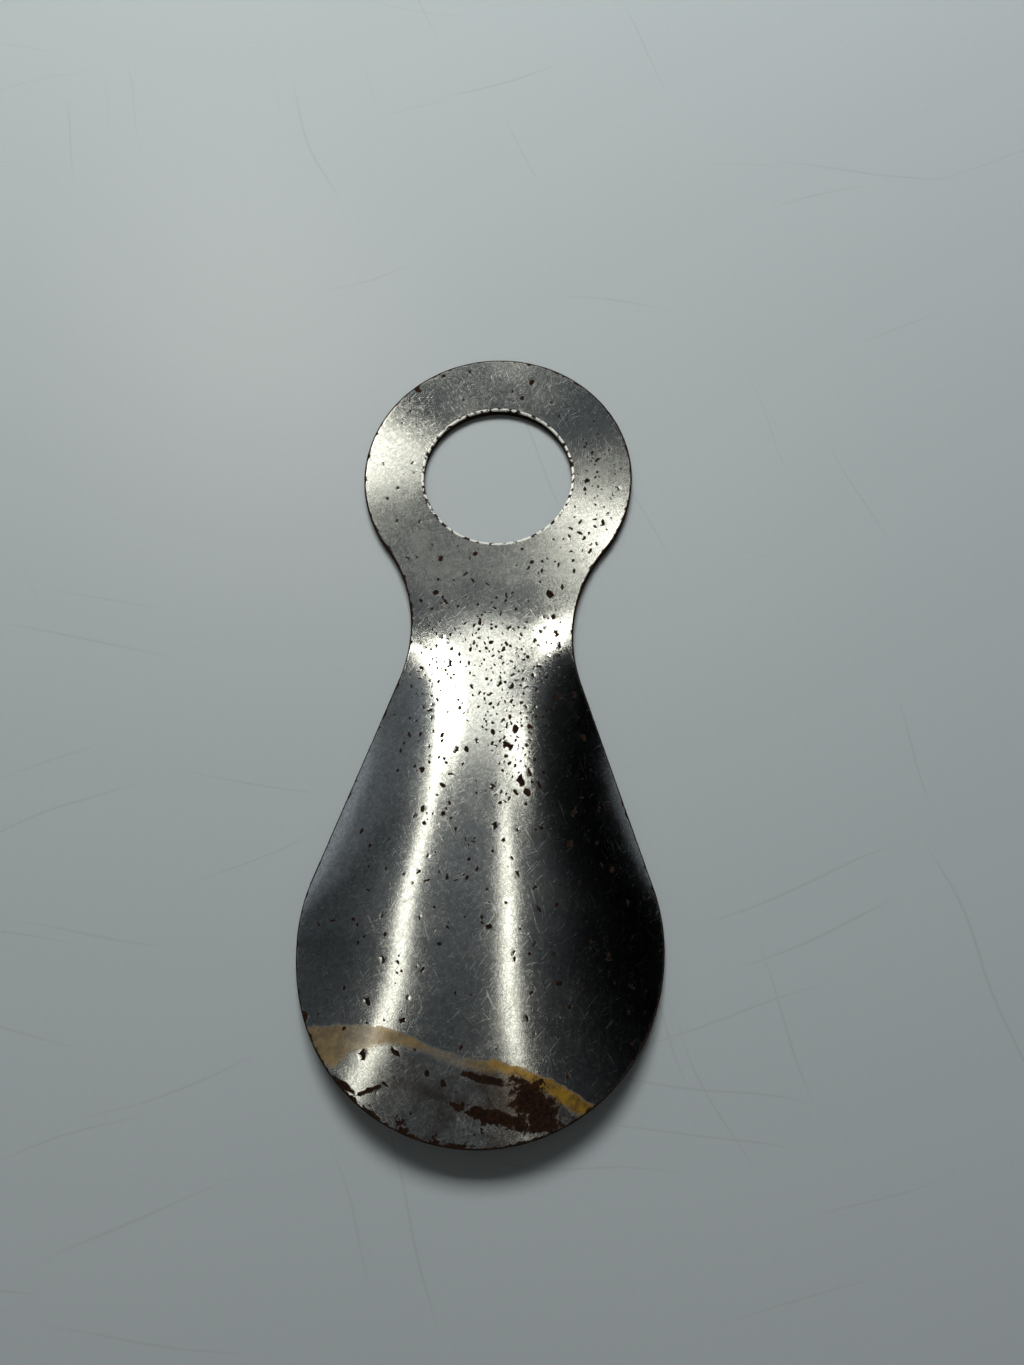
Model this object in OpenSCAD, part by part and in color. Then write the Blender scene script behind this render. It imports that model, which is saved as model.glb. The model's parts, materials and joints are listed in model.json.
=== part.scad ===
// Pocket shoehorn with a finger ring, pressed from one piece of steel sheet.
// It lies as on a table: hollow side down, ring flat, blade arched over the table.
// Millimetres. +X is across the blade, +Y runs from the tip to the ring, +Z is up.
// The origin is on the table, under the middle of the outline.

/* [Overall] */
// Length from the blade's tip to the far side of the ring
overall_l = 101.4; // [90:0.1:140]
// Thickness of the sheet
sheet_t = 1.2; // [0.6:0.1:1.6]

/* [Finger ring] */
// Outside diameter of the ring
ring_d = 36.2; // [30:0.1:44]
// Diameter of the finger hole
hole_d = 20; // [14:0.1:24]

/* [Neck] */
// Width at the narrowest place
neck_w = 21; // [17:0.1:26]
// Radius of the hollow curve between the ring and the blade, seen from above
neck_r = 19.5; // [15:0.5:26]
// Flat left between the hole's edge and the start of the bend
hole_land = 6.2; // [3:0.1:9]
// Length over which the flat neck rises to the full height of the blade
bend_l = 44; // [34:0.5:48]

/* [Blade] */
// Width at the widest place, which is also twice the radius of the rounded end
blade_w = 43.4; // [36:0.1:54]
// Height of the hollow under the crown
arch_h = 6.2; // [5:0.1:9]
// How far the crown line comes down again by the tip
tip_drop = 2.4; // [0:0.1:4]
// Length over which the crown line comes down
tip_fall_l = 30; // [15:0.5:34]
// Radius of the cross arch at the tip
tip_arch_r = 78; // [60:1:200]

/* [Mesh] */
// Steps along the neck curve
neck_steps = 14; // [8:1:20]
// Steps along the straight flank
flank_steps = 12; // [6:1:18]
// Steps round the blade's end, from the flank to the tip
end_steps = 22; // [12:1:32]
// Steps across the sheet
cross_steps = 20; // [12:2:28]

/* [Hidden] */

ring_r = ring_d / 2;
hole_r = hole_d / 2;
blade_r = blade_w / 2;
// Distances along the part are taken from the ring's centre towards the tip
ring_y = overall_l / 2 - ring_r;
blade_u = overall_l - ring_r - blade_r;
tip_u = overall_l - ring_r;
bend_start_u = hole_r + hole_land;
fall_start_u = tip_u - tip_fall_l;

// The neck curve's centre: it touches the ring and leaves neck_w between the two curves
neck_x = neck_w / 2 + neck_r;
neck_u = sqrt(pow(ring_r + neck_r, 2) - pow(neck_x, 2));
ring_end_u = ring_r * neck_u / (ring_r + neck_r);
// The flank is the straight line that touches the neck curve and the blade's end
neck_to_blade = norm([neck_x, blade_u - neck_u]);
flank_a = acos((blade_r + neck_r) / neck_to_blade) - atan2(blade_u - neck_u, neck_x);
flank_top = [neck_x - neck_r * cos(flank_a), neck_u - neck_r * sin(flank_a)];
flank_end = [blade_r * cos(flank_a), blade_u + blade_r * sin(flank_a)];
// Where the neck curve starts, as an angle at its centre
ring_touch_a = asin((neck_u - ring_end_u) / neck_r);

circle_fn = 128;
// Half the distance over which the sheet's slope is taken
slope_step = 0.01;
// How far a cutting shape runs past the face it cuts
through = 1;

function limited(a) = min(max(a, 0), 1);

// A smooth change from 0 to 1, level at both ends
function ease(a) = let (b = limited(a)) b * b * (3 - 2 * b);

// The same, but steepest a third of the way along, with a long gentle end
function early_ease(a) = let (b = limited(a)) b * b * (6 - 8 * b + 3 * b * b);

// Half of the outline's width at a distance u from the ring's centre
function half_width(u) =
    u < flank_top[1] ? neck_x - sqrt(pow(neck_r, 2) - pow(u - neck_u, 2)) :
    u < flank_end[1] ? flank_top[0] + (u - flank_top[1]) * tan(-flank_a) :
    sqrt(max(pow(blade_r, 2) - pow(u - blade_u, 2), 0));

// Height of the hollow under the middle line
function crown(u) =
    arch_h * early_ease((u - bend_start_u) / bend_l)
    - tip_drop * pow(max(u - fall_start_u, 0) / tip_fall_l, 2);

// Radius of the cross arch that brings both lower edges down to the table
function resting_r(u) = let (
    w = half_width(u),
    upper_a = 2 * atan(crown(u) / w),
    edge_a = 2 * atan((crown(u) + sheet_t * (1 - cos(upper_a))) / w))
    w / sin(edge_a);

// Radius of the cross arch: the edges rest as far as the widest line, then it opens out
function arch_r(u) = u < blade_u ? resting_r(u) :
    1 / (1 / resting_r(blade_u)
        + (1 / tip_arch_r - 1 / resting_r(blade_u)) * ease((u - blade_u) / blade_r));

// Height of the upper face, which is flat where the crown hasn't started to rise
function top_z(x, u) = crown(u) <= 0 ? sheet_t : let (r = arch_r(u))
    sheet_t + crown(u) - r + sqrt(max(pow(r, 2) - pow(x, 2), 0));

// Unit normal of the upper face, in the part's axes
function top_normal(x, u) = let (
    dx = (top_z(x + slope_step, u) - top_z(x - slope_step, u)) / (2 * slope_step),
    du = (top_z(x, u + slope_step) - top_z(x, u - slope_step)) / (2 * slope_step),
    n = [-dx, du, 1])
    n / norm(n);

// A point of the sheet: depth 0 is the upper face, depth sheet_t is the lower one
function sheet_point(x, u, depth) =
    [x, ring_y - u, top_z(x, u)] - depth * top_normal(x, u);

// Distances of the rows across the sheet, from the ring to just before the tip
row_u = concat(
    [for (i = [0 : neck_steps - 1])
        neck_u - neck_r * sin(ring_touch_a + (flank_a - ring_touch_a) * i / neck_steps)],
    [for (i = [0 : flank_steps - 1])
        flank_top[1] + (flank_end[1] - flank_top[1]) * i / flank_steps],
    [for (i = [0 : end_steps - 1])
        blade_u + blade_r * sin(flank_a + (90 - flank_a) * i / end_steps)]);

row_n = len(row_u);
col_n = cross_steps + 1;
face_n = row_n * col_n + 1;

// The points of one face of the sheet, row by row, with the tip last
function face_points(depth) = concat(
    [for (u = row_u)
        for (j = [0 : cross_steps])
            sheet_point(half_width(u) * (2 * j / cross_steps - 1), u, depth)],
    [sheet_point(0, tip_u, depth)]);

// The triangles of one face; first is the index of the face's first point
function face_triangles(first) = concat(
    [for (i = [0 : row_n - 2])
        for (j = [0 : cross_steps - 1])
            let (a = first + i * col_n + j)
            for (tri = [[a, a + 1, a + col_n + 1], [a, a + col_n + 1, a + col_n]]) tri],
    [for (j = [0 : cross_steps - 1])
        let (a = first + (row_n - 1) * col_n + j)
        [a, a + 1, first + face_n - 1]]);

// The outline's point numbers, once round: left side, tip, right side, and back across
rim = concat(
    [for (i = [0 : row_n - 1]) i * col_n],
    [face_n - 1],
    [for (i = [row_n - 1 : -1 : 0]) i * col_n + cross_steps],
    [for (j = [cross_steps - 1 : -1 : 1]) j]);

function turned(tri) = [tri[0], tri[2], tri[1]];

function rim_triangles() =
    [for (k = [0 : len(rim) - 1])
        let (a = rim[k], b = rim[(k + 1) % len(rim)])
        for (tri = [[a, b, b + face_n], [a, b + face_n, a + face_n]]) tri];

// Neck and blade: the bent part of the sheet
module bent_sheet() {
    polyhedron(
        points = concat(face_points(0), face_points(sheet_t)),
        faces = concat(
            face_triangles(0),
            [for (tri = face_triangles(face_n)) turned(tri)],
            [for (tri = rim_triangles()) turned(tri)]),
        convexity = 6);
}

// Ring: the flat part of the sheet, as far as the line where the neck curves start
module flat_ring() {
    intersection() {
        translate([0, ring_y, 0])
            cylinder(h = sheet_t, r = ring_r, $fn = circle_fn);
        translate([-ring_d, ring_y - ring_end_u, -through])
            cube([2 * ring_d, ring_d + ring_end_u, sheet_t + 2 * through]);
    }
}

module shoehorn() {
    color("lightslategray")
        difference() {
            union() {
                flat_ring();
                bent_sheet();
            }
            translate([0, ring_y, -through])
                cylinder(h = sheet_t + 2 * through, r = hole_r, $fn = circle_fn);
        }
}

shoehorn();
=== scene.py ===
"""Looks of the pocket shoehorn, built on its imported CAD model.

Everything is in metres in the part's own frame: +X across the blade, +Y from the blade's tip towards the
ring, +Z up from the table. A distance called u runs from the ring's centre towards the tip, so y is
RING_Y - u. Lists of marks on the sheet, and the numbers inside its material, are in millimetres. The sheet is
rebuilt finely from the same curves as the CAD part, with rolled and worn edges and rust pits.
"""

import json
import math

import bpy
import numpy as np
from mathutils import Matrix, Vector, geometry


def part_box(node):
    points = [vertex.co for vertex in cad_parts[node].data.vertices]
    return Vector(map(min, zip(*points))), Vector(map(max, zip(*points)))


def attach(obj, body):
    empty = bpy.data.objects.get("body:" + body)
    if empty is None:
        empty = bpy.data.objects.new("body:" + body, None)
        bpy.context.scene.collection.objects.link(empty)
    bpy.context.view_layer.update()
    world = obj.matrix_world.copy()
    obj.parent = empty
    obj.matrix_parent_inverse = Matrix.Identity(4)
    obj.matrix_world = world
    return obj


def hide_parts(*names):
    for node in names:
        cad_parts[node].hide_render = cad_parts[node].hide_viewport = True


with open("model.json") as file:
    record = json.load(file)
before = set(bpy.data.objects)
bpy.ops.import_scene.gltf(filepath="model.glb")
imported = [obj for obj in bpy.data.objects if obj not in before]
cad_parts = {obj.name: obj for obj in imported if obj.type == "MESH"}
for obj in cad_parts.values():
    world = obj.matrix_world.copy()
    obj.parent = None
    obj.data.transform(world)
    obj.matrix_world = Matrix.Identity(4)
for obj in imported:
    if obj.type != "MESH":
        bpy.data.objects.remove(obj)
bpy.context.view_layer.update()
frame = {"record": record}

MM = 0.001
rng = np.random.default_rng(7)

# ---------------------------------------------------------------- sizes

sheet_low, sheet_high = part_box("shoehorn")
finger_hole = next(m for m in frame["record"]["mounts"] if m["name"] == "finger_hole")
HOLE_R = finger_hole["dims"]["r_mm"] * MM
SHEET_T = finger_hole["dims"]["length_mm"] * MM
RING_Y = finger_hole["pos_m"][1]
RING_R = sheet_high.y - RING_Y
BLADE_R = sheet_high.x
TIP_U = RING_Y - sheet_low.y
BLADE_U = TIP_U - BLADE_R

# The bends, as in the CAD part
NECK_W = 21 * MM
NECK_R = 19.5 * MM
HOLE_LAND = 6.2 * MM
BEND_L = 44 * MM
ARCH_H = 6.2 * MM
TIP_DROP = 2.4 * MM
TIP_FALL_L = 30 * MM
TIP_ARCH_R = 78 * MM
BEND_START_U = HOLE_R + HOLE_LAND
FALL_START_U = TIP_U - TIP_FALL_L

# The neck curve touches the ring, and the straight flank touches the neck curve and the blade's end
NECK_X = NECK_W / 2 + NECK_R
NECK_U = math.sqrt((RING_R + NECK_R) ** 2 - NECK_X**2)
RING_END_U = RING_R * NECK_U / (RING_R + NECK_R)
RING_END_A = math.acos(-RING_END_U / RING_R)
RING_TOUCH_A = math.asin((NECK_U - RING_END_U) / NECK_R)
NECK_TO_BLADE = math.hypot(NECK_X, BLADE_U - NECK_U)
FLANK_A = math.acos((BLADE_R + NECK_R) / NECK_TO_BLADE) - math.atan2(BLADE_U - NECK_U, NECK_X)
FLANK_TOP = (NECK_X - NECK_R * math.cos(FLANK_A), NECK_U - NECK_R * math.sin(FLANK_A))
FLANK_END = (BLADE_R * math.cos(FLANK_A), BLADE_U + BLADE_R * math.sin(FLANK_A))

# ---------------------------------------------------------------- the bent sheet as formulas


def early_ease(a):
    b = np.clip(a, 0, 1)
    return b * b * (6 - 8 * b + 3 * b * b)


def ease(a):
    b = np.clip(a, 0, 1)
    return b * b * (3 - 2 * b)


def half_width(u):
    """Half of the outline's width at a distance u from the ring's centre."""
    ring = np.sqrt(np.maximum(RING_R**2 - u**2, 0))
    neck = NECK_X - np.sqrt(np.maximum(NECK_R**2 - (u - NECK_U) ** 2, 0))
    flank = FLANK_TOP[0] - (u - FLANK_TOP[1]) * math.tan(FLANK_A)
    end = np.sqrt(np.maximum(BLADE_R**2 - (u - BLADE_U) ** 2, 0))
    return np.select([u < RING_END_U, u < FLANK_TOP[1], u < FLANK_END[1]], [ring, neck, flank], end)


def crown(u):
    """Height of the hollow under the middle line."""
    rise = ARCH_H * early_ease((u - BEND_START_U) / BEND_L)
    return rise - TIP_DROP * (np.maximum(u - FALL_START_U, 0) / TIP_FALL_L) ** 2


def resting_r(u):
    """Radius of the cross arch that brings both lower edges down to the table."""
    w = half_width(u)
    h = np.maximum(crown(u), 1e-9)
    upper_a = 2 * np.arctan(h / w)
    edge_a = 2 * np.arctan((h + SHEET_T * (1 - np.cos(upper_a))) / w)
    return w / np.sin(edge_a)


WIDEST_ARCH_R = float(resting_r(np.array(BLADE_U)))


def arch_r(u):
    opening = (1 / TIP_ARCH_R - 1 / WIDEST_ARCH_R) * ease((u - BLADE_U) / BLADE_R)
    return np.where(u < BLADE_U, resting_r(np.minimum(u, BLADE_U)), 1 / (1 / WIDEST_ARCH_R + opening))


def top_z(x, u):
    """Height of the upper face, which is flat where the crown hasn't started to rise."""
    r = arch_r(u)
    bent = SHEET_T + crown(u) - r + np.sqrt(np.maximum(r**2 - x**2, 0))
    return np.where(crown(u) <= 1e-9, SHEET_T, bent)


def sheet_points(xu, depth):
    """Points of the sheet under the upper face's points xu, at a depth along its normal."""
    x, u = xu[:, 0], xu[:, 1]
    step = 0.01 * MM
    dx = (top_z(x + step, u) - top_z(x - step, u)) / (2 * step)
    du = (top_z(x, u + step) - top_z(x, u - step)) / (2 * step)
    n = np.stack([-dx, du, np.ones_like(dx)], 1)
    n /= np.linalg.norm(n, axis=1)[:, None]
    return np.stack([x, RING_Y - u, top_z(x, u)], 1) - np.asarray(depth)[..., None] * n


# ---------------------------------------------------------------- outline


def arc(centre, radius, start, end, spacing, inward=False):
    """Points and outward normals along an arc. On an inward one the metal is outside the circle."""
    n = max(2, round(abs(end - start) * radius / spacing))
    a = np.linspace(start, end, n, endpoint=False)
    away = np.stack([np.cos(a), np.sin(a)], 1)
    if inward:
        return centre - radius * away, away
    return centre + radius * away, away


def outline(spacing):
    """The whole outline, seen from above, as points (x, u) and unit normals that point out of the metal."""
    quarter = math.pi / 2
    flank_n = round(math.dist(FLANK_TOP, FLANK_END) / spacing)
    share = np.linspace(0, 1, flank_n, endpoint=False)[:, None]
    flank = np.array(FLANK_TOP) * (1 - share) + np.array(FLANK_END) * share
    flank_normal = np.tile([math.cos(FLANK_A), math.sin(FLANK_A)], (flank_n, 1))
    parts = [
        arc((0, 0), RING_R, -quarter, RING_END_A - quarter, spacing),
        arc((NECK_X, NECK_U), NECK_R, RING_TOUCH_A, FLANK_A, spacing, inward=True),
        (flank, flank_normal),
        arc((0, BLADE_U), BLADE_R, FLANK_A, quarter, spacing),
    ]
    right = np.concatenate([p for p, _ in parts] + [[[0, TIP_U]]])
    normal = np.concatenate([n for _, n in parts] + [[[0, 1]]])
    mirror = np.array([-1, 1])
    left, left_normal = right[-2:0:-1] * mirror, normal[-2:0:-1] * mirror
    return np.concatenate([right, left]), np.concatenate([normal, left_normal])


def hole_loop(spacing):
    points, away = arc((0, 0), HOLE_R, 0, 2 * math.pi, spacing)
    return points, -away


def wander(n, waves, size):
    """A smooth closed wobble of n values, made of a band of waves round the loop."""
    t = np.linspace(0, 2 * math.pi, n, endpoint=False)
    low, high = waves
    k = rng.integers(low, high, 40)
    phase = rng.uniform(0, 2 * math.pi, 40)
    return size * np.sin(t[:, None] * k + phase).sum(1) / math.sqrt(20)


# ---------------------------------------------------------------- marks that have real depth

# Clusters of rust pits on the upper face: middle (x, u) and spread in mm, and how many
PIT_CLUSTERS = [
    (13.2, 2.5, 2.4, 5.5, 80),
    (10.5, 11.0, 3.4, 3.4, 40),
    (0.0, 25.5, 6.5, 3.2, 150),
    (1.0, 32.0, 4.8, 5.0, 190),
    (3.4, 40.0, 1.9, 5.0, 110),
    (-6.5, 40.0, 3.0, 8.0, 40),
    (-1.0, 52.0, 8.0, 9.0, 60),
    (-1.0, 16.5, 8.0, 3.2, 45),
]
SPARSE_PITS = 150
UNDER_CLUSTERS = [(0, 40, 12, 22, 70)]
UNDER_SPARSE = 60
# Larger single spots: place (x, u) and radius in mm
SPOTS = [
    (-12.2, 74.0, 0.34), (-8.6, 73.6, 0.36), (-5.0, 75.6, 0.26), (-3.2, 76.6, 0.3), (-15.7, 76.0, 0.3),
    (-11.8, -13.1, 0.42), (4.2, -14.5, 0.3), (4.5, 43.0, 0.42), (5.2, 44.4, 0.36), (6.6, 43.4, 0.3),
    (2.7, 38.5, 0.4), (3.5, 36.4, 0.36), (7.4, 17.2, 0.45), (7.9, 20.4, 0.3), (-7.5, 17.3, 0.3),
    (-9.9, 3.6, 0.38), (16.4, -2.2, 0.34), (12.0, 0.6, 0.3), (14.2, 6.8, 0.3), (3.0, -12.0, 0.26),
    (-8.0, 70.2, 0.28),
]
# Most pits' radius in mm: the middle size, how widely sizes spread, and the smallest and largest
PIT_R = 0.135
PIT_R_SPREAD = 0.34
PIT_R_LIMITS = (0.07, 0.27)
# How far a pit keeps off the edges, in mm, and off its neighbours, as a share of their radii together
PIT_OFF_EDGE = 1.1
PIT_APART = 1.7
# How deep pits are, as a share of their radius
PIT_DEPTH_RANGE = (0.08, 0.16)
# Each pit is rings of points: their radii, depths and rust, as shares of the pit's own
PIT_SIDES = 9
PIT_RINGS = (0.5, 1.0, 1.5)
PIT_DEPTHS = (1.0, 0.12, 0.0)
PIT_RUST = (1.0, 1.0, 0.0)

# The brown tide mark near the tip, as u in mm over x: its upper line, its lower line and how strong it is
TIDE_LINE = [(-21.7, 71.9), (-14, 70.9), (-9, 71.2), (-5, 72.6), (0, 73.9), (4, 74.3), (8, 75.6), (12, 77.6),
             (16, 79.6), (21.7, 81.0)]
TIDE_LOW = [(-21.7, 75.6), (-16, 75.2), (-12, 73.2), (-8, 72.8), (-3, 73.7), (2, 74.6), (6, 76.2), (10, 78.4),
            (14, 80.4), (21.7, 82.4)]
TIDE_STRENGTH = [(-21.7, 0.8), (-16, 0.85), (-12, 0.55), (-9, 0.85), (-6, 0.85), (-3, 0.6), (1, 0.95),
                 (6, 1.0), (12, 1.0), (21.7, 0.9)]
# Smears: from (x, u) to (x, u), width, ragged features to a mm, where it is full and where it ends, both as
# shares of its half length or half width, and strength
RUST_SMEARS = [
    (3.4, 75.8, 9.8, 80.4, 4.8, 0.8, 0.4, 0.95, 1.0),
    (-3.6, 78.5, 8.4, 81.2, 2.5, 0.9, 0.3, 0.9, 1.0),
    (-2.8, 75.3, 5.0, 76.6, 1.3, 1.2, 0.3, 1.0, 0.85),
    (5.0, 80.8, 10.8, 80.2, 1.9, 1.1, 0.4, 1.0, 0.8),
    (-15.4, 76.4, -12.6, 78.2, 0.9, 1.6, 0.5, 0.95, 1.0),
    (-13.0, 78.3, -9.6, 76.9, 0.7, 1.8, 0.5, 0.95, 1.0),
    (-17.9, 74.0, -16.6, 75.6, 0.9, 1.7, 0.5, 0.95, 1.0),
    (-20.2, 69.4, -19.2, 70.9, 1.5, 1.5, 0.4, 1.0, 1.0),
    (-12.5, -13.7, -11.0, -12.7, 0.9, 1.7, 0.5, 1.0, 1.0),
    (-8.4, -15.5, -7.8, -15.3, 0.6, 1.7, 0.5, 1.0, 1.0),
]
BROWN_SMEARS = [
    (-10.5, 76.0, 3.0, 79.6, 3.0, 0.5, 0.1, 1.2, 1.0),
    (-1.0, 75.4, 10.0, 80.4, 7.0, 0.5, 0.4, 1.2, 1.0),
]


def inside_by(xu, outer):
    """How far each point lies inside the outline, and how far outside the hole: negative off the metal."""
    to_edge = np.full(len(xu), np.inf)
    for i in range(0, len(xu), 4000):
        part = xu[i : i + 4000]
        away = ((part[:, None, :] - outer[None, :, :]) ** 2).sum(2)
        to_edge[i : i + 4000] = np.sqrt(away.min(1))
    u = xu[:, 1]
    in_ends = (u > -RING_R) & (u < TIP_U)
    in_outline = in_ends & (np.abs(xu[:, 0]) < half_width(u))
    to_hole = np.hypot(xu[:, 0], u) - HOLE_R
    return np.where(in_outline, to_edge, -to_edge), to_hole


def scatter_pits(clusters, sparse, outer):
    """Centres and radii of rust pits that keep apart and off the edges."""
    tries = [rng.normal((x, u), (sx, su), (n, 2)) for x, u, sx, su, n in clusters]
    tries.append(rng.uniform((-BLADE_R / MM, -RING_R / MM), (BLADE_R / MM, TIP_U / MM), (sparse * 2, 2)))
    xu = np.concatenate(tries) * MM
    spots = np.array(SPOTS) * MM
    xu = np.concatenate([spots[:, :2], xu])
    radius = np.clip(rng.lognormal(math.log(PIT_R), PIT_R_SPREAD, len(xu)), *PIT_R_LIMITS) * MM
    radius[: len(spots)] = spots[:, 2]
    edge, hole = inside_by(xu, outer)
    fits = np.minimum(edge, hole) > PIT_OFF_EDGE * MM + radius * PIT_RINGS[-1]
    xu, radius = xu[fits], radius[fits]
    kept = []
    for i in range(len(xu)):
        if all(math.dist(xu[i], xu[j]) > PIT_APART * (radius[i] + radius[j]) for j in kept):
            kept.append(i)
    return xu[kept], radius[kept]


def pit_points(centres, radii):
    """Rings of points round each pit, with how deep and how rusty each is."""
    xu, depth, rust = [], [], []
    turn = np.arange(PIT_SIDES) / PIT_SIDES * 2 * math.pi
    for c, r in zip(centres, radii):
        ragged = 1 + 0.3 * rng.uniform(-1, 1, PIT_SIDES)
        lean = rng.normal(math.pi / 2, 0.6)
        long = rng.uniform(1.0, 1.7)
        deep = rng.uniform(*PIT_DEPTH_RANGE) * r
        xu.append([c])
        depth.append([deep])
        rust.append([1.0])
        for share, d, m in zip(PIT_RINGS, PIT_DEPTHS, PIT_RUST):
            out = share * r * (1 + (ragged - 1) * min(share, 1))
            a, b = np.cos(turn) * out * long, np.sin(turn) * out / long
            ring_x = a * math.cos(lean) - b * math.sin(lean)
            ring_u = a * math.sin(lean) + b * math.cos(lean)
            xu.append(c + np.stack([ring_x, ring_u], 1))
            depth.append(np.full(PIT_SIDES, deep * d))
            rust.append(np.full(PIT_SIDES, m))
    return np.concatenate(xu), np.concatenate(depth), np.concatenate(rust)


# ---------------------------------------------------------------- the sheet's mesh

LOOP_STEP = 0.3 * MM
HOLE_STEP = 0.24 * MM
TOP_GRID = 0.42 * MM
UNDER_GRID = 0.6 * MM
# How far the grid's points stray, and how much room it leaves, as shares of its spacing or of a pit's radius
GRID_JITTER = 0.12
GRID_TO_ROWS = 0.45
GRID_TO_PIT = 1.45
# How the edge is rounded: how far in from the outline and how deep each row of points lies, from the upper
# face, which was rolled over as the sheet was stamped, to the lower one, which is sharper
EDGE_ROWS = [(0.20, 0.0), (0.11, 0.008), (0.055, 0.03), (0.02, 0.075), (0.0, 0.15), (0.0, 0.42), (0.0, 0.7),
             (0.0, 0.95), (0.01, 1.11), (0.045, 1.17), (0.11, 1.195), (0.22, 1.2)]
# Rows inside the rounded edge that lead over to the even grid
LEAD_ROWS = (0.40, 0.68)
# Dents in the cut edge, in mm: how many waves go round each loop, how high they rise, and what is cut off so
# that only the crests count. They are deepest at one row, and fade out over this many rows to each side.
DENT_WAVES = (30, 160)
DENT_SIZE = 0.012
DENT_CUT = 0.008
DENT_GAIN = 1.6
DENT_ROW = 4
DENT_ROWS = 6
# The wall is rough from one of these rows up to the other, by this many mm
ROUGH_ROW = 2
CLEAN_ROW = 10
ROUGHNESS = 0.006


def hex_grid(spacing):
    rows = np.arange(-RING_R, TIP_U, spacing * math.sqrt(3) / 2)
    cols = np.arange(-BLADE_R, BLADE_R, spacing)
    return np.array([(x + (i % 2) * spacing / 2, u) for i, u in enumerate(rows) for x in cols])


def face_layout(inset, grid, pits, outer, hole):
    """Points (x, u) and triangles of one face, and each point's depth and rust. Rim points come first."""
    (outer_xu, outer_n), (hole_xu, hole_n) = outer, hole
    loops = [outer_xu - outer_n * inset, hole_xu - hole_n * inset]
    for row in LEAD_ROWS:
        loops += [(outer_xu - outer_n * row * MM)[::2], (hole_xu - hole_n * row * MM)[::2]]
    pit_xu, pit_depth, pit_rust = pit_points(*pits)
    spread = hex_grid(grid)
    spread = spread + rng.uniform(-GRID_JITTER, GRID_JITTER, spread.shape) * grid
    edge, to_hole = inside_by(spread, outer_xu)
    spread = spread[np.minimum(edge, to_hole) > (LEAD_ROWS[-1] * MM + grid * GRID_TO_ROWS)]
    clear = np.full(len(spread), True)
    for c, r in zip(*pits):
        clear &= np.hypot(*(spread - c).T) > r * PIT_RINGS[-1] * GRID_TO_PIT
    xu = np.concatenate(loops + [pit_xu, spread[clear]])
    depth, rust = np.zeros(len(xu)), np.zeros(len(xu))
    first = sum(len(p) for p in loops)
    depth[first : first + len(pit_xu)] = pit_depth
    rust[first : first + len(pit_xu)] = pit_rust
    edges = []
    start = 0
    for loop in loops[:2]:
        edges += [(start + i, start + (i + 1) % len(loop)) for i in range(len(loop))]
        start += len(loop)
    made = geometry.delaunay_2d_cdt([tuple(p / MM) for p in xu], edges, [], 0, 1e-6)
    source = [o[0] for o in made[3]]
    tris = np.array([[source[i] for i in f] for f in made[2]])
    middle = xu[tris].mean(1)
    edge, to_hole = inside_by(middle, outer_xu)
    tris = tris[(edge > inset * 0.9) & (to_hole > inset * 0.9)]
    return xu, tris, depth, rust


def wall_rows(loop, normals):
    """The rows of one edge between the two faces: points (x, u) and depths, with small nicks and dents."""
    n = len(loop)
    dent = np.maximum(wander(n, DENT_WAVES, DENT_SIZE * MM) - DENT_CUT * MM, 0) * DENT_GAIN
    rows = []
    for i, (inset, depth) in enumerate(EDGE_ROWS):
        away = dent * (1 - abs(i - DENT_ROW) / DENT_ROWS if i < CLEAN_ROW else 0)
        rough = rng.uniform(-1, 1, n) * (ROUGHNESS if ROUGH_ROW <= i < CLEAN_ROW else 0.0) * MM
        inward = inset * MM + np.maximum(away, 0) + rough
        rows.append((loop - normals * inward[:, None], np.full(n, depth * MM)))
    return rows


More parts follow.
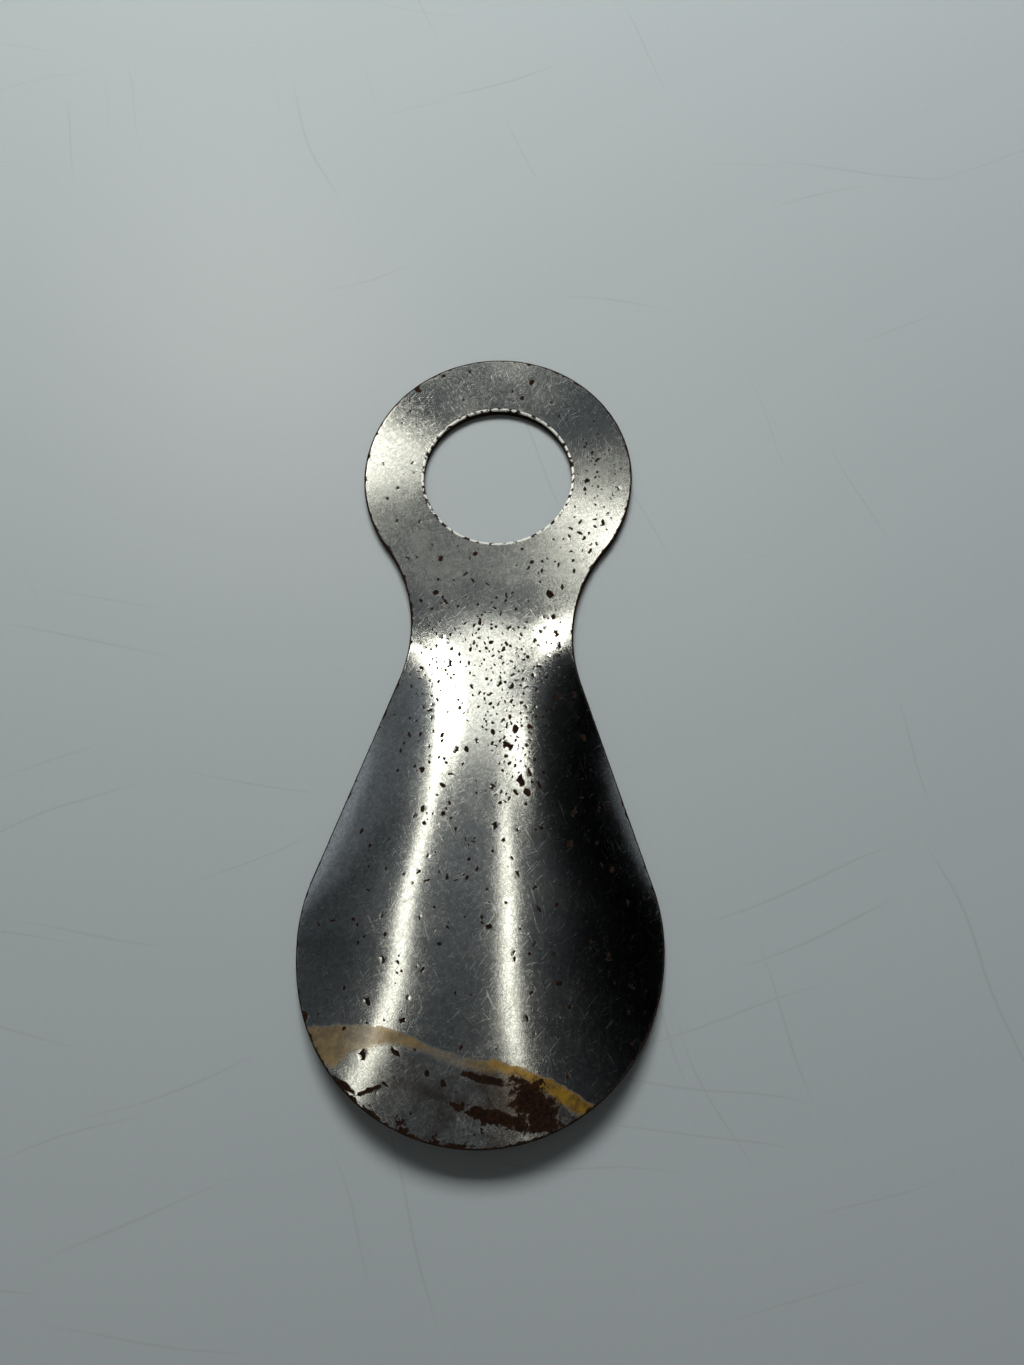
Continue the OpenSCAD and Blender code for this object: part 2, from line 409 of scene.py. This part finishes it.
def build_sheet():
    outer, hole = outline(LOOP_STEP), hole_loop(HOLE_STEP)
    n_outer, n_hole = len(outer[0]), len(hole[0])
    top_pits = scatter_pits(PIT_CLUSTERS, SPARSE_PITS, outer[0])
    under_pits = scatter_pits(UNDER_CLUSTERS, UNDER_SPARSE, outer[0])
    top = face_layout(EDGE_ROWS[0][0] * MM, TOP_GRID, top_pits, outer, hole)
    under = face_layout(EDGE_ROWS[-1][0] * MM, UNDER_GRID, under_pits, outer, hole)

    points, tris, marks = [], [], []
    xu, face, depth, rust = top
    points.append(sheet_points(xu, depth))
    marks.append((xu, rust, np.zeros(len(xu))))
    # In (x, u) the second axis points the other way from Y, so the upper face's triangles are turned over
    tris.append(face[:, ::-1])
    count = len(xu)
    under_first = count
    xu, face, depth, rust = under
    points.append(sheet_points(xu, SHEET_T - depth))
    marks.append((xu, rust, np.ones(len(xu))))
    tris.append(face + count)
    count += len(xu)

    # Both loops run the same way round, so the outer wall's triangles turn over to face out of the metal
    for loop, normals, n, first, turn in ((*outer, n_outer, 0, -1), (*hole, n_hole, n_outer, 1)):
        rows = wall_rows(loop, normals)
        index = [np.arange(n) + first]
        for xu, depth in rows[1:-1]:
            points.append(sheet_points(xu, depth))
            marks.append((xu, np.zeros(n), depth / SHEET_T))
            index.append(np.arange(n) + count)
            count += n
        index.append(np.arange(n) + under_first + first)
        for a, b in zip(index, index[1:]):
            a2, b2 = np.roll(a, -1), np.roll(b, -1)
            tris.append(np.stack([a, b, b2], 1)[:, ::turn])
            tris.append(np.stack([a, b2, a2], 1)[:, ::turn])

    points, tris = np.concatenate(points), np.concatenate(tris)
    mesh = bpy.data.meshes.new("shoehorn_sheet")
    mesh.from_pydata(points.tolist(), [], tris.tolist())
    xu = np.concatenate([m[0] for m in marks])
    edge, to_hole = inside_by(xu, outer[0])
    for name, values in (
        ("edge_mm", np.abs(edge) / MM),
        ("lip_mm", np.abs(to_hole) / MM),
        ("pit", np.concatenate([m[1] for m in marks])),
        ("side", np.concatenate([m[2] for m in marks])),
    ):
        mesh.attributes.new(name, "FLOAT", "POINT").data.foreach_set("value", values.astype(np.float32))
    mesh.validate()
    mesh.shade_smooth()
    sheet = bpy.data.objects.new("shoehorn_sheet", mesh)
    bpy.context.scene.collection.objects.link(sheet)
    return sheet


# ---------------------------------------------------------------- material

COOL_STEEL = (0.52, 0.545, 0.565, 1)
WARM_STEEL = (0.62, 0.615, 0.60, 1)
MOTTLED_STEEL = (0.49, 0.50, 0.505, 1)
DARK_GRAIN = (0.1, 0.11, 0.12, 1)
TARNISH = (0.12, 0.13, 0.135, 1)
BROWN_HAZE = (0.13, 0.08, 0.05, 1)
# Near-white colour for a painted highlight along the hole's lip
PAINTED_LIP_HIGHLIGHT = (1.0, 0.98, 0.90, 1)
UNDERSIDE = (0.30, 0.29, 0.275, 1)
LEFT_AMBER = (0.34, 0.22, 0.06, 1)
RIGHT_AMBER = (0.42, 0.235, 0.022, 1)
DARK_AMBER = (0.15, 0.085, 0.025, 1)
BLACK_RUST = (0.011, 0.007, 0.005, 1)
BROWN_RUST = (0.045, 0.018, 0.009, 1)
GREY_TABLE = (0.55, 0.59, 0.60, 1)
PALE_TABLE = (0.60, 0.635, 0.64, 1)
TABLE_SCRATCH = (0.36, 0.37, 0.36, 1)


class Nodes:
    """Short calls for making shader nodes. A socket takes a number, a colour or another node's output."""

    def __init__(self, tree):
        self.tree = tree

    def make(self, kind, inputs=(), out=0, **settings):
        node = self.tree.nodes.new(kind)
        for name, value in settings.items():
            setattr(node, name, value)
        for socket, value in dict(inputs).items():
            if isinstance(value, bpy.types.NodeSocket):
                self.tree.links.new(value, node.inputs[socket])
            else:
                node.inputs[socket].default_value = value
        return node.outputs[out]

    def math(self, operation, a, b=0.0, c=0.0, clamp=False):
        return self.make("ShaderNodeMath", {0: a, 1: b, 2: c}, operation=operation, use_clamp=clamp)

    def add(self, a, b):
        return self.math("ADD", a, b)

    def sub(self, a, b):
        return self.math("SUBTRACT", a, b)

    def mul(self, a, b):
        return self.math("MULTIPLY", a, b)

    def most(self, a, b):
        return self.math("MAXIMUM", a, b)

    def least(self, a, b):
        return self.math("MINIMUM", a, b)

    def fade(self, value, start, end):
        """0 at start and 1 at end, smooth between; start may be the larger."""
        settings = {"interpolation_type": "SMOOTHSTEP", "clamp": True}
        if start > end:
            inputs = {"Value": value, "From Min": end, "From Max": start, "To Min": 1.0, "To Max": 0.0}
        else:
            inputs = {"Value": value, "From Min": start, "From Max": end, "To Min": 0.0, "To Max": 1.0}
        return self.make("ShaderNodeMapRange", inputs, **settings)

    def scale(self, value, low, high):
        inputs = {"Value": value, "From Min": 0.0, "From Max": 1.0, "To Min": low, "To Max": high}
        return self.make("ShaderNodeMapRange", inputs)

    def noise(self, vector, scale, detail=2.0, rough=0.5):
        inputs = {"Vector": vector, "Scale": scale, "Detail": detail, "Roughness": rough}
        return self.make("ShaderNodeTexNoise", inputs)

    def vector(self, operation, a, b=(0.0, 0.0, 0.0)):
        return self.make("ShaderNodeVectorMath", {0: a, 1: b}, operation=operation)

    def scaled(self, vector, times):
        return self.make("ShaderNodeVectorMath", {0: vector, 3: times}, operation="SCALE")

    def turned(self, vector, degrees):
        """A vector turned about the vertical."""
        inputs = {"Vector": vector, "Angle": math.radians(degrees)}
        return self.make("ShaderNodeVectorRotate", inputs, rotation_type="Z_AXIS")

    def mix(self, share, a, b):
        """A mix of two colours."""
        return self.make("ShaderNodeMix", {0: share, 6: a, 7: b}, out=2, data_type="RGBA")

    def mix_value(self, share, a, b):
        return self.make("ShaderNodeMix", {0: share, 2: a, 3: b}, data_type="FLOAT")

    def mark(self, name):
        return self.make("ShaderNodeAttribute", out=2, attribute_name=name)

    def curve(self, value, points):
        """A smooth curve through points, read at value."""
        low, high = points[0][0], points[-1][0]
        share = self.make("ShaderNodeMapRange", {"Value": value, "From Min": low, "From Max": high})
        node = self.tree.nodes.new("ShaderNodeFloatCurve")
        self.tree.links.new(share, node.inputs["Value"])
        line = node.mapping.curves[0]
        heights = [p[1] for p in points]
        floor, room = min(heights), max(heights) - min(heights)
        for i, (at, height) in enumerate(points):
            spot = ((at - low) / (high - low), (height - floor) / room)
            if i < 2:
                line.points[i].location = spot
            else:
                line.points.new(*spot)
        node.mapping.update()
        return self.add(self.mul(node.outputs[0], room), floor)


def new_material(name):
    material = bpy.data.materials.new(name)
    material.use_nodes = True
    material.node_tree.nodes.clear()
    return material, Nodes(material.node_tree)


def shoehorn_steel():
    """Worn stamped steel: hairline scratches, a circular grain round the hole, rust, a brown tide mark, and a
    painted highlight along the hole's lip.
    """
    material, n = new_material("worn_sheet_steel")
    place = n.make("ShaderNodeTexCoord", out="Object")
    mm = n.scaled(place, 1 / MM)
    split = n.make("ShaderNodeSeparateXYZ", {0: mm}).node
    x, y = split.outputs[0], split.outputs[1]
    u = n.sub(RING_Y / MM, y)
    edge, lip, pit, side = (n.mark(name) for name in ("edge_mm", "lip_mm", "pit", "side"))
    at_hole = n.fade(lip, 3.0, 2.0)
    wall = n.least(n.fade(n.sub(side, n.mul(at_hole, 0.16)), 0.02, 0.08), n.fade(side, 0.99, 0.95))
    under = n.fade(side, 0.97, 0.999)

    def strands(angle, across, along, detail=1.5, bend=0.0):
        """Noise drawn out along an angle, with this many features to a mm across it and along it."""
        straight = n.turned(mm, angle)
        if bend:
            drift = n.sub(n.noise(mm, 0.12, 1.0), 0.5)
            straight = n.vector("ADD", straight, n.make("ShaderNodeCombineXYZ", {0: n.mul(drift, bend)}))
        return n.noise(n.vector("MULTIPLY", straight, (across, along, 1.0)), 1.0, detail, 0.6)

    # Long lines run down the blade; short ones at every angle cover the whole sheet
    down = strands(3, 7.0, 0.4)
    short = [strands(angle, 6.0, 1.05) for angle in (12, 41, 67, 98, 133, 162)]
    hair = short[0]
    for line in short[1:]:
        hair = n.most(hair, line)
    woven = short[0]
    for line in short[1:]:
        woven = n.add(woven, line)
    # Single stray scratches, a little bent
    stray_a = n.fade(strands(38, 7.0, 0.22, 3.0, 2.0), 0.64, 0.70)
    stray_b = n.fade(strands(-27, 7.0, 0.2, 3.0, -3.0), 0.65, 0.71)
    stray_c = n.fade(strands(68, 7.0, 0.25, 3.0, 3.0), 0.65, 0.72)
    stray = n.most(n.most(stray_a, stray_b), stray_c)
    right_side = n.fade(x, 3.0, 9.0)
    lines = n.fade(n.most(hair, n.mul(down, n.scale(right_side, 0.98, 1.1))), 0.62, 0.78)
    cloud = n.noise(mm, 0.16, 4.0, 0.6)
    mottle = n.noise(mm, 1.6, 4.0, 0.65)

    # Rust: pits, a broken line along the edges, spots, and smears near the tip
    speck_seat = n.noise(mm, 2.6, 3.0, 0.7)
    edge_noise = n.noise(mm, 0.9, 4.0, 0.7)
    edge_reach = n.scale(n.fade(edge_noise, 0.48, 0.75), 0.21, 0.55)
    edge_rust = n.fade(n.sub(edge, edge_reach), 0.05, -0.05)
    lip_rust = n.mul(n.fade(lip, 0.42, 0.3), n.fade(n.noise(mm, 1.5, 3.0, 0.6), 0.53, 0.57))
    # Painted highlight: a near-white, mostly non-metallic band along the hole's lip stands in for the glint
    # on its rounded edge
    painted_lip_highlight = n.mul(n.fade(lip, 0.36, 0.26), n.sub(1.0, lip_rust))

    tide_line, tide_low = n.curve(x, TIDE_LINE), n.curve(x, TIDE_LOW)
    shaky = n.mul(n.sub(n.noise(mm, 0.55, 4.0, 0.6), 0.5), 1.3)
    above = n.add(n.sub(u, tide_line), shaky)
    below = n.add(n.sub(tide_low, u), n.mul(shaky, 1.6))
    stain_body = n.least(n.fade(above, -0.1, 0.3), n.fade(below, -0.5, 0.35))
    stain_front = n.least(n.fade(above, -0.12, 0.12), n.fade(above, 1.5, 0.7))
    strength = n.curve(x, TIDE_STRENGTH)
    stain = n.mul(n.most(stain_body, n.mul(stain_front, 0.85)), strength)
    past_tide = n.fade(n.sub(u, tide_line), 0.5, 2.5)

    def smear(x0, u0, x1, u1, wide, ragged, full, ends, strong):
        """A ragged brown streak from one point to another."""
        length = math.hypot(x1 - x0, u1 - u0)
        cx, cu = (x0 + x1) / 2, (u0 + u1) / 2
        dx, du = (x1 - x0) / length, (u1 - u0) / length
        rx, ru = n.sub(x, cx), n.sub(u, cu)
        along = n.add(n.mul(rx, dx), n.mul(ru, du))
        across = n.sub(n.mul(rx, du), n.mul(ru, dx))
        reach = n.math("SQRT", n.add(n.math("POWER", n.mul(along, 2 / length), 2.0),
                                     n.math("POWER", n.mul(across, 2 / wide), 2.0)))
        rough = n.mul(n.sub(n.noise(mm, ragged, 5.0, 0.72), 0.5), 1.9)
        return n.mul(n.fade(n.add(reach, rough), ends, full), strong)

    def all_smears(marks):
        together = smear(*marks[0])
        for one in marks[1:]:
            together = n.most(together, smear(*one))
        return together

    tip_reach = n.mul(n.sub(n.noise(mm, 0.6, 5.0, 0.75), 0.44), 9.0)
    tip_left = n.mul(n.fade(u, 75.5, 77.5), n.fade(x, 3.0, -2.0))
    tip_rust = n.mul(n.fade(n.sub(edge, tip_reach), 0.1, -0.2), tip_left)
    smears = n.most(all_smears(RUST_SMEARS), tip_rust)
    brown = all_smears(BROWN_SMEARS)
    haze = n.mul(past_tide, n.fade(n.noise(mm, 0.35, 5.0, 0.7), 0.42, 0.66))
    haze = n.mul(haze, n.scale(n.fade(x, -11.0, -5.0), 0.1, 0.6))

    rust = n.most(n.most(n.fade(pit, 0.25, 0.75), smears), n.most(edge_rust, lip_rust))
    rust = n.most(rust, n.mul(wall, 0.92))
    rust = n.most(rust, n.mul(n.mul(under, n.fade(cloud, 0.5, 0.66)), 0.5))

    # Colours
    steel = n.mix(cloud, COOL_STEEL, WARM_STEEL)
    steel = n.mix(n.fade(mottle, 0.45, 0.7), steel, MOTTLED_STEEL)
    steel = n.mix(n.fade(woven, 2.7, 3.3), n.mix(0.36, steel, DARK_GRAIN), steel)
    steel = n.mix(n.mul(n.fade(u, 24.0, 20.0), 0.28), steel, TARNISH)
    steel = n.mix(n.most(haze, n.mul(brown, 0.75)), steel, BROWN_HAZE)
    # Painted highlight along the hole's lip
    steel = n.mix(n.mul(painted_lip_highlight, 0.95), steel, PAINTED_LIP_HIGHLIGHT)
    steel = n.mix(n.mul(under, 0.5), steel, UNDERSIDE)
    amber = n.mix(n.fade(x, -4.0, 6.0), LEFT_AMBER, RIGHT_AMBER)
    amber = n.mix(n.fade(n.noise(mm, 0.9, 4.0, 0.7), 0.35, 0.7), amber, DARK_AMBER)
    rust_colour = n.mix(n.fade(speck_seat, 0.35, 0.7), BLACK_RUST, BROWN_RUST)
    colour = n.mix(stain, steel, amber)
    # Along a rust mark's rim the metal goes dark before it goes rough, or the rim would shine
    crust = n.fade(rust, 0.0, 0.45)
    colour = n.mix(crust, colour, rust_colour)

    # The painted lip highlight is made mostly non-metal, so the lamps light it like white paint
    metal = n.sub(1.0, n.most(n.most(n.mul(crust, 0.97), n.mul(stain, 0.75)), n.mul(painted_lip_highlight, 0.75)))

    # Gloss, as roughness: the larger, the duller
    ring = n.fade(u, 20.0, 14.0)
    ring_top = n.fade(u, -2.0, -10.0)
    blade = n.fade(u, 24.0, 36.0)
    middle = n.least(n.fade(x, -15.0, -7.0), n.fade(x, 9.0, 2.0))
    gloss = n.mix_value(n.mul(blade, middle), 0.15, 0.2)
    gloss = n.mix_value(ring, gloss, n.mix_value(ring_top, 0.25, 0.12))
    gloss = n.add(gloss, n.mul(lines, 0.085))
    gloss = n.add(gloss, n.mul(stray, 0.14))
    gloss = n.add(gloss, n.mul(n.fade(cloud, 0.4, 0.75), 0.05))
    gloss = n.add(gloss, n.mul(past_tide, 0.03))
    gloss = n.add(gloss, n.mul(under, 0.15))
    # The painted lip highlight is also made duller
    gloss = n.mix_value(n.mul(painted_lip_highlight, 0.8), gloss, 0.45)
    gloss = n.mix_value(n.mul(stain, 0.7), gloss, 0.33)
    gloss = n.mix_value(n.fade(rust, 0.5, 1.0), gloss, 0.75)

    # The grain runs in circles round the hole, so highlights stretch along the radius
    centred = n.vector("SUBTRACT", place, (0, RING_Y, 0))
    radial = n.vector("NORMALIZE", n.vector("MULTIPLY", centred, (1, 1, 0)))

    height = n.add(n.mul(woven, 0.6), n.mul(down, 0.8))
    height = n.add(height, n.mul(stray, -0.6))
    height = n.add(height, n.mul(mottle, 0.8))
    height = n.add(height, n.mul(n.mul(rust, n.noise(mm, 5.0, 3.0, 0.7)), 3.0))
    bump = n.make("ShaderNodeBump", {"Strength": 0.28, "Distance": 0.006 * MM, "Height": height})

    shader = n.make(
        "ShaderNodeBsdfPrincipled",
        {
            "Base Color": colour,
            "Metallic": metal,
            "Roughness": gloss,
            "Normal": bump,
            "Tangent": radial,
            "Anisotropic": 0.75,
            "IOR": 1.5,
            "Specular IOR Level": n.scale(crust, 0.5, 0.06),
        },
    )
    output = n.tree.nodes.new("ShaderNodeOutputMaterial")
    n.tree.links.new(shader, output.inputs["Surface"])
    return material


def table_top():
    material, n = new_material("pale_table")
    place = n.make("ShaderNodeTexCoord", out="Object")
    cloud = n.noise(place, 9.0, 3.0, 0.5)
    grain = n.noise(place, 1500.0, 2.0, 0.5)
    shade = n.add(n.mul(cloud, 0.5), n.mul(grain, 0.5))
    drift = n.make("ShaderNodeTexNoise", {"Vector": place, "Scale": 14.0, "Detail": 2.0}, out=1)
    bent = n.vector("ADD", n.scaled(drift, 0.02), place)
    scratch = None
    for angle in (68, 97, -20):
        drawn = n.vector("MULTIPLY", n.turned(bent, angle), (900.0, 14.0, 1.0))
        line = n.fade(n.noise(drawn, 1.0, 1.0, 0.5), 0.72, 0.78)
        scratch = line if scratch is None else n.most(scratch, line)
    colour = n.mix(shade, GREY_TABLE, PALE_TABLE)
    colour = n.mix(n.mul(scratch, 0.22), colour, TABLE_SCRATCH)
    bump = n.make("ShaderNodeBump", {"Strength": 0.1, "Distance": 0.02 * MM, "Height": grain})
    shader = n.make("ShaderNodeBsdfPrincipled", {"Base Color": colour, "Roughness": 0.55, "Normal": bump})
    output = n.tree.nodes.new("ShaderNodeOutputMaterial")
    n.tree.links.new(shader, output.inputs["Surface"])
    return material


# ---------------------------------------------------------------- stage, light and camera

FLOOR_HALF = 4.0
CREAM = (1.0, 0.975, 0.82)
COOL_WHITE = (0.96, 1.0, 1.0)
STRIP_Z = 0.35
FAR_BAR_Z = 2.4
NEAR_Z = 0.1
TABLE_LAMP_Z = 0.44
# Lamps that the steel reflects: name, range of x, range of y, height, radiance and turn in degrees
REFLECTED_LAMPS = [
    ("left_strip", (-0.24, -0.20), (-0.15, 0.26), STRIP_Z, 3.7, 0),
    ("right_strip", (0.043, 0.066), (-0.13, 0.16), STRIP_Z, 4.4, 0),
    ("left_end", (-0.29, -0.21), (0.25, 0.44), STRIP_Z, 2.6, 0),
    ("far_bar", (-1.75, 0.33), (1.98, 3.3), FAR_BAR_Z, 2.6, 0),
    ("near_left", (-0.075, -0.040), (0.082, 0.134), NEAR_Z, 8.5, 0),
    ("near_right", (0.0195, 0.0335), (0.049, 0.080), NEAR_Z, 6.0, 28),
    ("near_side", (0.030, 0.044), (0.060, 0.076), NEAR_Z, 10.0, 0),
]


def add_floor():
    h = FLOOR_HALF
    mesh = bpy.data.meshes.new("table_top")
    mesh.from_pydata([(-h, -h, 0), (h, -h, 0), (h, h, 0), (-h, h, 0)], [], [(0, 1, 2, 3)])
    floor = bpy.data.objects.new("table_top", mesh)
    bpy.context.scene.collection.objects.link(floor)
    mesh.materials.append(table_top())


def panel_light(name, x, y, z, radiance, turned, tint=CREAM, diffuse=False):
    """A flat lamp that faces down from a height z, over these ranges of x and y.

    A diffuse lamp lights matt surfaces and isn't reflected. The others are only reflected.
    """
    light = bpy.data.lights.new(name, "AREA")
    light.shape = "RECTANGLE"
    light.size, light.size_y = x[1] - x[0], y[1] - y[0]
    light.energy = radiance * math.pi * light.size * light.size_y
    light.color = tint
    lamp = bpy.data.objects.new(name, light)
    lamp.location = ((x[0] + x[1]) / 2, (y[0] + y[1]) / 2, z)
    lamp.rotation_euler = (0, 0, math.radians(turned))
    lamp.visible_camera = False
    lamp.visible_glossy = not diffuse
    lamp.visible_diffuse = diffuse
    bpy.context.scene.collection.objects.link(lamp)


def add_lights():
    """Strips over the part, a bar far beyond its ring, lamps near the neck, and the table's lamp."""
    for lamp in REFLECTED_LAMPS:
        panel_light(*lamp)
    panel_light("table_lamp", (-0.17, 0.11), (0.25, 0.45), TABLE_LAMP_Z, 14.0, 0, COOL_WHITE, diffuse=True)


def add_room():
    """A soft dim room, lighter on the left. Past the table the camera sees plain grey."""
    world = bpy.data.worlds.new("room")
    bpy.context.scene.world = world
    world.use_nodes = True
    world.node_tree.nodes.clear()
    n = Nodes(world.node_tree)
    way = n.make("ShaderNodeTexCoord", out="Generated")
    split = n.make("ShaderNodeSeparateXYZ", {0: way}).node
    dx, dy, dz = split.outputs
    to_degrees = 180 / math.pi
    across = n.mul(n.math("ARCTAN2", dx, dz), to_degrees)
    along = n.mul(n.math("ARCTAN2", dy, dz), to_degrees)
    # From left to right, in degrees off the vertical, it dims to nothing
    level = n.scale(n.fade(across, -61, -29), 0.044, 0.112)
    level = n.add(n.mul(level, n.fade(across, 40, 0)), n.mul(n.fade(across, 59, 30), 0.006))
    # Towards the ring's side it is lighter, and much lighter past 40 degrees
    depth = n.scale(n.fade(along, -18, 7), 0.41, 1.12)
    depth = n.add(depth, n.mul(n.least(n.fade(along, 4, 15), n.fade(along, 27, 15)), 0.25))
    depth = n.add(depth, n.mul(n.fade(along, 35, 44), 1.9))
    depth = n.sub(depth, n.mul(n.fade(along, 57, 95), 0.55))
    horizon = n.mul(n.fade(dz, 0.26, 0.1), 0.22)
    level = n.add(n.mul(level, depth), horizon)
    cool = n.make("ShaderNodeBackground", {"Color": (0.86, 0.95, 1.0, 1), "Strength": level})
    plain = n.make("ShaderNodeBackground", {"Color": (0.36, 0.39, 0.395, 1), "Strength": 1.0})
    soft = n.make("ShaderNodeBackground", {"Color": (0.9, 0.97, 1.0, 1), "Strength": 0.05})
    ray = n.make("ShaderNodeLightPath").node
    seen = n.make("ShaderNodeMixShader", {0: ray.outputs["Is Diffuse Ray"], 1: cool, 2: soft})
    seen = n.make("ShaderNodeMixShader", {0: ray.outputs["Is Camera Ray"], 1: seen, 2: plain})
    output = n.tree.nodes.new("ShaderNodeOutputWorld")
    n.tree.links.new(seen, output.inputs["Surface"])


CAMERA_AT = (6.45 * MM, -35.52 * MM, 124.93 * MM)
CAMERA_TURN = (17.446, 1.144, 1.7235)
SENSOR_W = 36
LENS = 27.03


def add_camera():
    """A phone held over the tip end of the part, tilted a little towards the ring."""
    data = bpy.data.cameras.new("camera")
    data.sensor_width = SENSOR_W
    data.lens = LENS
    data.clip_start = 0.01
    camera = bpy.data.objects.new("camera", data)
    camera.location = CAMERA_AT
    camera.rotation_euler = [math.radians(a) for a in CAMERA_TURN]
    bpy.context.scene.collection.objects.link(camera)
    bpy.context.scene.camera = camera


add_camera()
add_floor()
add_lights()
add_room()
bpy.context.scene.view_settings.view_transform = "Standard"

shoehorn_sheet = build_sheet()
shoehorn_sheet.data.materials.append(shoehorn_steel())
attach(shoehorn_sheet, "root")
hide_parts("shoehorn")
